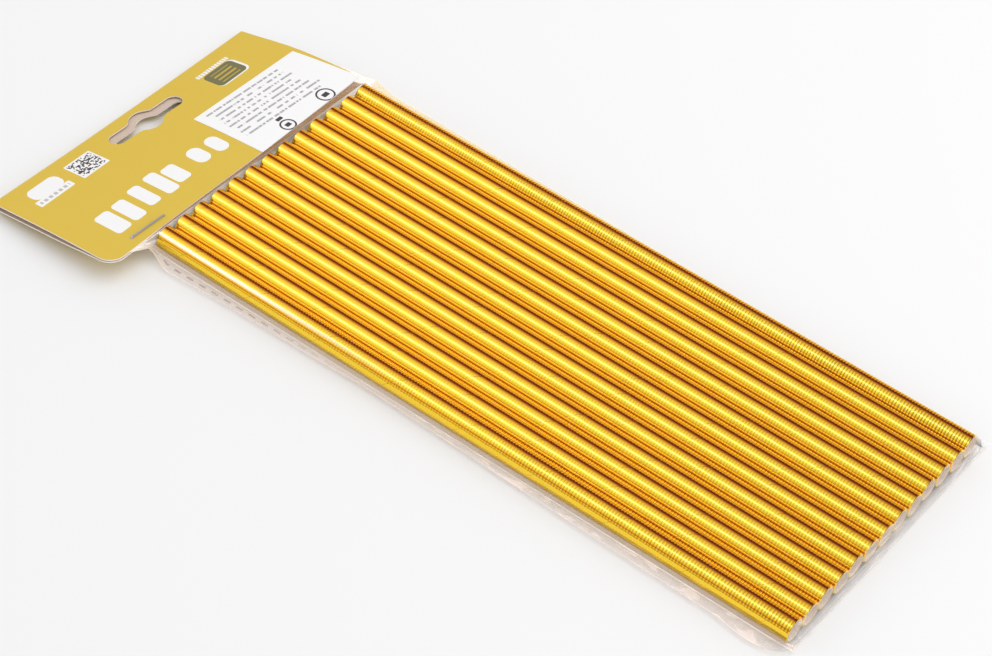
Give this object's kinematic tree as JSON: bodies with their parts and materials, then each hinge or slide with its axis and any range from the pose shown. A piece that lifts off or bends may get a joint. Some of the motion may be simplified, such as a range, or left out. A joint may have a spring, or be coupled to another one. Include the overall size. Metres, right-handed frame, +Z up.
{
  "type": "drinking straw pack",
  "caption": "Layer of gold foil paper drinking straws in a clear film bag, closed by a folded header card with a hang slot and a staple.",
  "frame": {"origin": "underside of the bag, below the middle of the layer of straws, on the surface that the pack lies on", "axes": "+X along the straws away from the header card, +Y across the layer of straws, +Z up"},
  "size_m": [0.2412, 0.1063, 0.0067],
  "materials": {
    "foil_straw": "metallic foil",
    "clear_film": "clear film",
    "header_card": "coated card",
    "sticker_label": "satin",
    "staple": "bright wire"
  },
  "bodies": {
    "root": {"straw_01": "foil_straw", "straw_02": "foil_straw", "straw_03": "foil_straw", "straw_04": "foil_straw", "straw_05": "foil_straw", "straw_06": "foil_straw", "straw_07": "foil_straw", "straw_08": "foil_straw", "straw_09": "foil_straw", "straw_10": "foil_straw", "straw_11": "foil_straw", "straw_12": "foil_straw", "straw_13": "foil_straw", "bag_film": "clear_film", "header_card": "header_card", "sticker_label": "sticker_label", "staple": "staple"}
  },
  "joints": []
}
